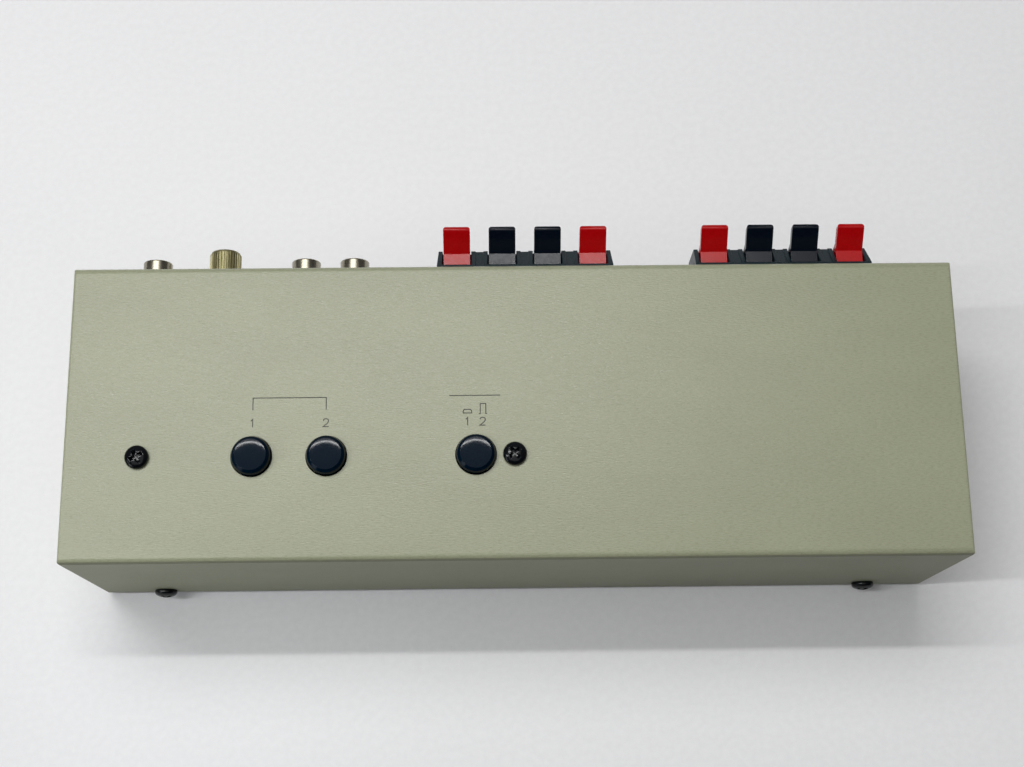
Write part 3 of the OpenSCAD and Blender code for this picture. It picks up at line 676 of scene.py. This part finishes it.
# Length and width of a bar of the cross recess, at the top of the head and at the recess's foot
RECESS = ((4.3 * MM, 1.2 * MM), (2.0 * MM, 0.65 * MM))
RECESS_DEEP = 1.4 * MM
RECESS_EDGE = 0.05 * MM

SCREW_LOOKS = {
    "switch_screws": "black_screw",
    "case_screws": "black_screw",
    "terminal_screws": "plated_steel"}

# How far each screw's recess is turned, in degrees
SCREW_TURNS = {
    "switch_screws": (28, 40),
    "case_screws": (15, 33, 62, 48),
    "terminal_screws": (10, 52, 71, 36)}


def wing(turn):
    """A cutter for one bar of a cross recess, narrower at its foot and turned by some degrees."""
    bm = bmesh.new()
    rings = []
    for (long, wide), z in zip(RECESS, (HEAD_H, HEAD_H - RECESS_DEEP)):
        corners = ((1, 1), (-1, 1), (-1, -1), (1, -1))
        rings.append([bm.verts.new((x * long / 2, y * wide / 2, z)) for x, y in corners])
    rise = [bm.verts.new(v.co + (v.co - w.co)) for v, w in zip(*rings)]
    rings.insert(0, rise)
    bm.faces.new(rings[0])
    bm.faces.new(rings[-1])
    for one, two in zip(rings, rings[1:]):
        bridge(bm, one, two)
    bmesh.ops.recalc_face_normals(bm, faces=bm.faces)
    return solid(bm, Matrix.Rotation(math.radians(turn), 4, "Z"))


def pan_head():
    """A pan head with a cross recess and a short shank."""
    quarter = [math.radians(90 * k / HEAD_STEPS) for k in range(HEAD_STEPS + 1)]
    dome = [(HEAD_R * math.cos(a), HEAD_EDGE + (HEAD_H - HEAD_EDGE) * math.sin(a)) for a in quarter]
    shank = [(0, -SHANK_LONG), (SHANK_R, -SHANK_LONG), (SHANK_R, 0)]
    rim = [(HEAD_R - HEAD_FOOT, 0), (HEAD_R, HEAD_FOOT)]
    head = solid(lathe(shank + rim + dome, segments=64))
    combine(head, [wing(0), wing(90)])
    return smooth(soften(head, RECESS_EDGE, segments=2, angle=40), HEAD_BREAK)


def screw_places():
    """(node, middle of the head's seat, the way it faces) of each screw, in its node's order."""
    for low, high in solids("switch_screws"):
        middle = mid(low, high)
        middle.z = TOP
        yield "switch_screws", middle, UP
    for low, high in solids("case_screws"):
        middle = mid(low, high)
        front = low.y < FRONT
        middle.y = FRONT if front else BACK
        yield "case_screws", middle, OUT_OF_FRONT if front else OUT_OF_BACK
    for low, high in solids("terminal_screws"):
        middle = mid(low, high)
        middle.y = high.y - HEAD_H
        yield "terminal_screws", middle, OUT_OF_BACK


pattern = pan_head()
heads = {node: [] for node in SCREW_LOOKS}
for node, at, way in screw_places():
    turn = SCREW_TURNS[node][len(heads[node])]
    head = pattern.copy()
    head.data = pattern.data.copy()
    head.data.transform(Matrix.Translation(at) @ way @ Matrix.Rotation(math.radians(turn), 4, "Z"))
    heads[node].append(head)
bpy.data.objects.remove(pattern)
for node, made in heads.items():
    piece(node + "_heads", smooth(group(made), HEAD_BREAK), "case", SCREW_LOOKS[node], [node])


# Phono jacks

BARREL_R = 4.15 * MM
BARREL_BORE = 3.45 * MM
BARREL_LIP = 0.42 * MM
FLANGE_R = 4.9 * MM
FLANGE_BORE = 3.2 * MM

# The flange's faces, measured out of the back wall
FLANGE_FACE = -0.4 * MM
FLANGE_FOOT = -1.2 * MM

INSULATOR_R = 3.42 * MM
INSULATOR_BORE = 2.02 * MM
INSULATOR_REACH = 7.6 * MM
COLLAR_R = 2.6 * MM
COLLAR_FOOT_R = 2.75 * MM
COLLAR_TALL = 0.35 * MM
CONTACT_R = 1.95 * MM
CONTACT_BORE = 1.65 * MM
CONTACT_FLOOR = 1.0 * MM
RIVET_R = 2.4 * MM
RIVET_BORE = 0.7 * MM
RIVET_ROLL = 0.3 * MM
RIVET_EDGE = 0.35 * MM


def barrel(reach):
    """A jack's barrel with a round lip and a flange sunk in the wall."""
    profile = rounded([
        (BARREL_BORE, FLANGE_FACE, 0), (BARREL_BORE, reach, BLUNT_EDGE), (BARREL_R, reach, BARREL_LIP),
        (BARREL_R, FLANGE_FACE, FINE_EDGE), (FLANGE_R, FLANGE_FACE, SOFT_EDGE),
        (FLANGE_R, FLANGE_FOOT, FINE_EDGE), (FLANGE_BORE, FLANGE_FOOT, 0)])
    return lathe(profile, segments=96, closed=True)


def insulator(reach):
    """The moulded filling of a barrel, with a collar round the hole for the centre contact."""
    face = reach - COLLAR_TALL
    profile = rounded([
        (INSULATOR_BORE, 0, 0), (INSULATOR_BORE, reach, SOFT_EDGE), (COLLAR_R, reach, FINE_EDGE),
        (COLLAR_FOOT_R, face, FINE_EDGE), (INSULATOR_R, face, FINE_EDGE), (INSULATOR_R, 0, 0)])
    return lathe(profile, segments=72, closed=True)


def contact(reach):
    """A centre contact: a thin tube with a floor."""
    profile = rounded([
        (0, 0, 0), (CONTACT_R, 0, 0), (CONTACT_R, reach, THIN_EDGE), (CONTACT_BORE, reach, THIN_EDGE),
        (CONTACT_BORE, CONTACT_FLOOR, FINE_EDGE), (0, CONTACT_FLOOR, 0)])
    return lathe(profile, segments=64)


def rivet_head(height):
    """The flat round head of a tube rivet, with its rolled hole."""
    profile = rounded([(RIVET_BORE, 0, 0), (RIVET_BORE, height, RIVET_ROLL), (RIVET_R, height, RIVET_EDGE),
                       (RIVET_R, 0, 0)])
    return lathe(profile, segments=48, closed=True)


def out_of_wall(low, high):
    """Out of the back wall, at the middle of a box."""
    middle = mid(low, high)
    return Matrix.Translation((middle.x, BACK, middle.z)) @ OUT_OF_BACK


# Jacks with odd numbers are in the upper row
upper = []
lower = []
contacts = []
for j in JACKS:
    low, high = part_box("jack_shell_" + j)
    place = out_of_wall(low, high)
    shell = smooth(solid(barrel(high.y - BACK), place))
    piece("phono_barrel_" + j, shell, "case", "nickel", ["jack_shell_" + j])
    row = upper if int(j[-1]) % 2 else lower
    row.append(solid(insulator(INSULATOR_REACH), place))
    contacts.append(solid(contact(INSULATOR_REACH), place))
piece("phono_fillings_upper", smooth(group(upper)), "case", "white_plastic", ["left_insulators"])
piece("phono_fillings_lower", smooth(group(lower)), "case", "red_plastic", ["right_insulators"])
piece("phono_contacts", smooth(group(contacts)), "case", "tinned_brass", ["jack_contacts"])
rivets = [solid(rivet_head(high.y - BACK), out_of_wall(low, high)) for low, high in solids("jack_rivets")]
piece("rivet_heads", smooth(group(rivets)), "case", "nickel", ["jack_rivets"])


# Earth post

NUT_LOW, NUT_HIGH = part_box("ground_nut")
NUT_R = (NUT_HIGH.x - NUT_LOW.x) / 2
NUT_BORE = 2.1 * MM
NUT_ROOF = 1.6 * MM
NUT_FOOT_IN = 0.3 * MM
NUT_FOOT_TALL = 0.15 * MM
TEETH = 36
TOOTH_DEEP = 0.3 * MM
TOOTH_STEPS = 12
KNURL_RINGS = 8

# Where the knurl starts above the nut's foot, and where it stops and the dome starts below its end
KNURL_START = 0.45 * MM
KNURL_STOP = 1.05 * MM
DOME_START = 0.85 * MM

# The dome's bends: how far in from the teeth's roots and below the nut's end
DOME_OUTER = (0.15 * MM, 0.25 * MM)
DOME_INNER = (1.3 * MM, 0)
DOME_BEND = 0.5 * MM

# Shares of half a tooth's pitch that the root and the flank take
TOOTH_ROOT = 0.30
TOOTH_FLANK = 0.35

HEX_LAND = 0.7 * MM
HEX_CHAMFER = 0.4 * MM
HEX_PROUD = 0.03 * MM
HEX_CLEAR = 0.05 * MM
HEX_PAST = 1.0 * MM
THREAD_PITCH = 0.7 * MM
THREAD_ROOT = 1.68 * MM
THREAD_CREST = 1.98 * MM

# Shares of the pitch at which a thread's crest starts and ends
CREST_START = 0.4
CREST_END = 0.6

WASHER_R = 4.4 * MM
WASHER_BORE = 2.05 * MM


def knurl(angle, r):
    """A straight knurl: flat-topped teeth that run out at the ends, where the radius is less."""
    core = NUT_R - TOOTH_DEEP
    if r <= core:
        return r
    part = abs((angle * TEETH / (2 * math.pi)) % 1 - 0.5) * 2
    rise = min(max((part - TOOTH_ROOT) / TOOTH_FLANK, 0), 1)
    return core + (r - core) * rise


def knurled_nut():
    """A knurled thumb nut with a domed end."""
    long = NUT_HIGH.y - NUT_LOW.y
    core = NUT_R - TOOTH_DEEP
    run = long - KNURL_START - KNURL_STOP
    profile = [(NUT_BORE, 0), (core - NUT_FOOT_IN, 0), (core, NUT_FOOT_TALL)]
    profile += [(NUT_R, KNURL_START + run * k / KNURL_RINGS) for k in range(KNURL_RINGS + 1)]
    bends = [(core - inward, long - down, DOME_BEND) for inward, down in (DOME_OUTER, DOME_INNER)]
    profile += rounded([(core, long - DOME_START, 0), *bends, (0, long, 0)])
    profile += [(0, long - NUT_ROOF), (NUT_BORE, long - NUT_ROOF)]
    return lathe(profile, segments=TEETH * TOOTH_STEPS, closed=True, radius=knurl)


def hex_nut(low, high):
    """A hexagon nut with its corners turned off."""
    long = high.y - low.y
    r = (high.x - low.x) / 2
    corners = [(r * math.cos(math.radians(60 * k)), r * math.sin(math.radians(60 * k))) for k in range(6)]
    nut = solid(prism(corners, 0, long))
    land = r - HEX_LAND
    wide = r + HEX_CLEAR
    turned = lathe([
        (0, -HEX_PAST), (land, -HEX_PAST), (land, -HEX_PROUD), (wide, HEX_CHAMFER),
        (wide, long - HEX_CHAMFER), (land, long + HEX_PROUD), (land, long + HEX_PAST), (0, long + HEX_PAST)],
        segments=96)
    return combine(nut, [solid(turned)], "INTERSECT")


def threaded_post(long):
    """A post with a ridge for each turn of its thread."""
    profile = [(0, 0)]
    for k in range(int(long / THREAD_PITCH)):
        profile += [(THREAD_ROOT, THREAD_PITCH * k), (THREAD_CREST, THREAD_PITCH * (k + CREST_START)),
                    (THREAD_CREST, THREAD_PITCH * (k + CREST_END))]
    return lathe(profile + [(THREAD_ROOT, long), (0, long)], segments=48)


def washer(thick):
    """A flat washer with round edges."""
    profile = rounded([(WASHER_BORE, 0, FINE_EDGE), (WASHER_R, 0, BLUNT_EDGE), (WASHER_R, thick, BLUNT_EDGE),
                       (WASHER_BORE, thick, FINE_EDGE)], closed=True)
    return lathe(profile, closed=True)


def on_post(y):
    """Out of the back wall, on the earth post's axis, from y."""
    middle = mid(NUT_LOW, NUT_HIGH)
    return Matrix.Translation((middle.x, y, middle.z)) @ OUT_OF_BACK


thumb_nut = solid(knurled_nut(), on_post(NUT_LOW.y))
piece("earth_thumb_nut", smooth(thumb_nut, angle=25), "earth_nut", "aged_brass", ["ground_nut"])
low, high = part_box("ground_hex_nut")
nut = hex_nut(low, high)
nut.data.transform(on_post(low.y))
piece("earth_hex_nut", smooth(nut, angle=20), "case", "nickel", ["ground_hex_nut"])
low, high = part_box("ground_washer")
ring = solid(washer(high.y - low.y), on_post(low.y))
piece("earth_washer", smooth(ring), "case", "nickel", ["ground_washer"])
low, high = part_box("ground_post")
post = solid(threaded_post(high.y - low.y), on_post(low.y))
piece("earth_post", smooth(post, angle=20), "case", "nickel", ["ground_post"])


# Wire terminals

BLOCK_EDGE = 0.2 * MM
LEVER_EDGE = 0.25 * MM
ROW = 4


def lever_look(name):
    """Red for the outer two levers of a row, black for the inner two."""
    number = int(name[len("lever_l"):])
    return "lever_red" if number % ROW in (0, 1) else "lever_black"


for side in SIDES:
    made = softened("terminal_block_" + side, BLOCK_EDGE, pierced=True)
    piece("wire_terminal_" + side, made, "case", "terminal_plastic", ["terminal_block_" + side])
for name in LEVERS:
    piece(name + "_tab", softened(name, LEVER_EDGE), name + "_body", lever_look(name), [name])


# Springs under the buttons and contact leaves by the levers, copied from the CAD, each with a mesh of its
# own

for b in BUTTONS:
    node = "return_spring_" + b
    low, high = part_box(node)
    coil = piece("return_coil_" + b, within(node, low, high), "case", "plated_steel", [node])
    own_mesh(coil)
for low, high in solids("contact_springs"):
    lever = min(LEVERS, key=lambda name: (mid(*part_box(name)) - mid(low, high)).length)
    leaf = within("contact_springs", low, high)
    piece(lever.replace("lever", "leaf"), leaf, "case", "tinned_brass", ["contact_springs"])
    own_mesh(leaf)


# Feet

FOOT_EDGE = 0.3 * MM
FOOT_BEND = 0.6 * MM
FOOT_HOLLOW = 0.5 * MM

# Shares of a foot's radius at the hollow's roof, the hollow's mouth and the tread's outer edge
FOOT_ROOF = 0.45
FOOT_MOUTH = 0.6
FOOT_TREAD = 0.9


def foot(low, high):
    """A rubber foot with a round lower edge and a shallow hollow under it."""
    r = (high.x - low.x) / 2
    tall = CASE_LOW.z - low.z
    profile = rounded([
        (0, FOOT_HOLLOW, 0), (FOOT_ROOF * r, FOOT_HOLLOW, FOOT_EDGE), (FOOT_MOUTH * r, 0, FOOT_EDGE),
        (FOOT_TREAD * r, 0, FOOT_BEND), (r, tall, FOOT_EDGE), (0, tall, 0)])
    return lathe(profile, segments=64)


feet = []
for low, high in solids("rubber_feet"):
    middle = mid(low, high)
    feet.append(solid(foot(low, high), Matrix.Translation((middle.x, middle.y, low.z))))
piece("feet", smooth(group(feet)), "case", "rubber", ["rubber_feet"])


# Pieces inside keep their CAD shape and get a finish of their own

for part in frame["record"]["subparts"]:
    node = frame["nodes"][part["node"]]
    if not node.hide_render:
        node.data.materials.clear()
        node.data.materials.append(FINISHES[part["material_slot"]])


# Floor, light and camera

FLOOR_HALF = 3.0
FLOOR_THICK = 10 * MM

# The room is dim in front and paler behind, along the Y part of a direction
ROOM_FRONT = -0.5
ROOM_BACK = 1.0
ROOM_DIM = (0.01, 0.01, 0.01)
ROOM_PALE = (0.14, 0.14, 0.14)


def aim(made, target):
    """Points a lamp or the camera at a place."""
    made.rotation_euler = (Vector(target) - made.location).to_track_quat("-Z", "Y").to_euler()


def lamp(name, at, target, size, power, colour, spread=180):
    """A soft rectangular lamp, whose light fans out over the spread in degrees."""
    light = bpy.data.lights.new(name, "AREA")
    light.shape = "RECTANGLE"
    light.size, light.size_y = size
    light.energy = power
    light.color = colour
    light.spread = math.radians(spread)
    made = bpy.data.objects.new(name, light)
    made.location = at
    bpy.context.scene.collection.objects.link(made)
    aim(made, target)


floor_low = Vector((-FLOOR_HALF, -FLOOR_HALF, -FLOOR_THICK))
floor_high = Vector((FLOOR_HALF, FLOOR_HALF, 0))
table = solid(block(floor_low, floor_high), name="floor")
table.data.materials.append(FINISHES["table"])
table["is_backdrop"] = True

lamp("tube", at=(-0.35, 0.42, 1.5), target=(-0.35, 0, 0), size=(1.2, 0.04), power=7.2,
     colour=(1.0, 1.0, 0.99))
lamp("rear", at=(-0.35, 0.75, 1.6), target=(-0.35, 0.2, 0), size=(1.2, 0.5), power=6.7,
     colour=(1.0, 1.0, 1.0))
lamp("ceiling", at=(-0.2, -0.15, 1.7), target=(-0.2, -0.15, 0), size=(2.0, 2.0), power=9.0,
     colour=(1.0, 1.0, 1.0))
lamp("side", at=(-0.95, -0.1, 1.5), target=(0, -0.1, 0), size=(0.05, 1.2), power=7.9,
     colour=(0.98, 0.99, 1.0))
lamp("window", at=(-1.4, -0.45, 0.75), target=(0, -0.1, 0), size=(0.5, 0.5), power=1.0,
     colour=(0.95, 0.97, 1.0))
lamp("card", at=(-0.2, -0.13, 0.1), target=(-0.08, -0.05, 0.03), size=(0.08, 0.08), power=0.0055,
     colour=(0.90, 0.95, 1.0), spread=50)

world = bpy.data.worlds.new("studio")
world.use_nodes = True
bpy.context.scene.world = world
sky = world.node_tree
way = add(sky, "TexCoord").outputs["Generated"]
depth = add(sky, "SeparateXYZ", Vector=way).outputs["Y"]
shade = tones(sky, ramp(sky, depth, ROOM_FRONT, ROOM_BACK), ROOM_DIM, ROOM_PALE, low=0, high=1)
sky.links.new(shade, sky.nodes["Background"].inputs["Color"])

camera = bpy.data.objects.new("camera", bpy.data.cameras.new("camera"))
camera.data.lens = LENS
camera.data.sensor_width = SENSOR
camera.location = CAMERA_AT
bpy.context.scene.collection.objects.link(camera)
aim(camera, CAMERA_AIM)
camera.rotation_euler = (camera.rotation_euler.to_matrix() @ Matrix.Rotation(CAMERA_ROLL, 3, "Z")).to_euler()
bpy.context.scene.camera = camera
bpy.context.scene.view_settings.view_transform = "Standard"

low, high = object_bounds()
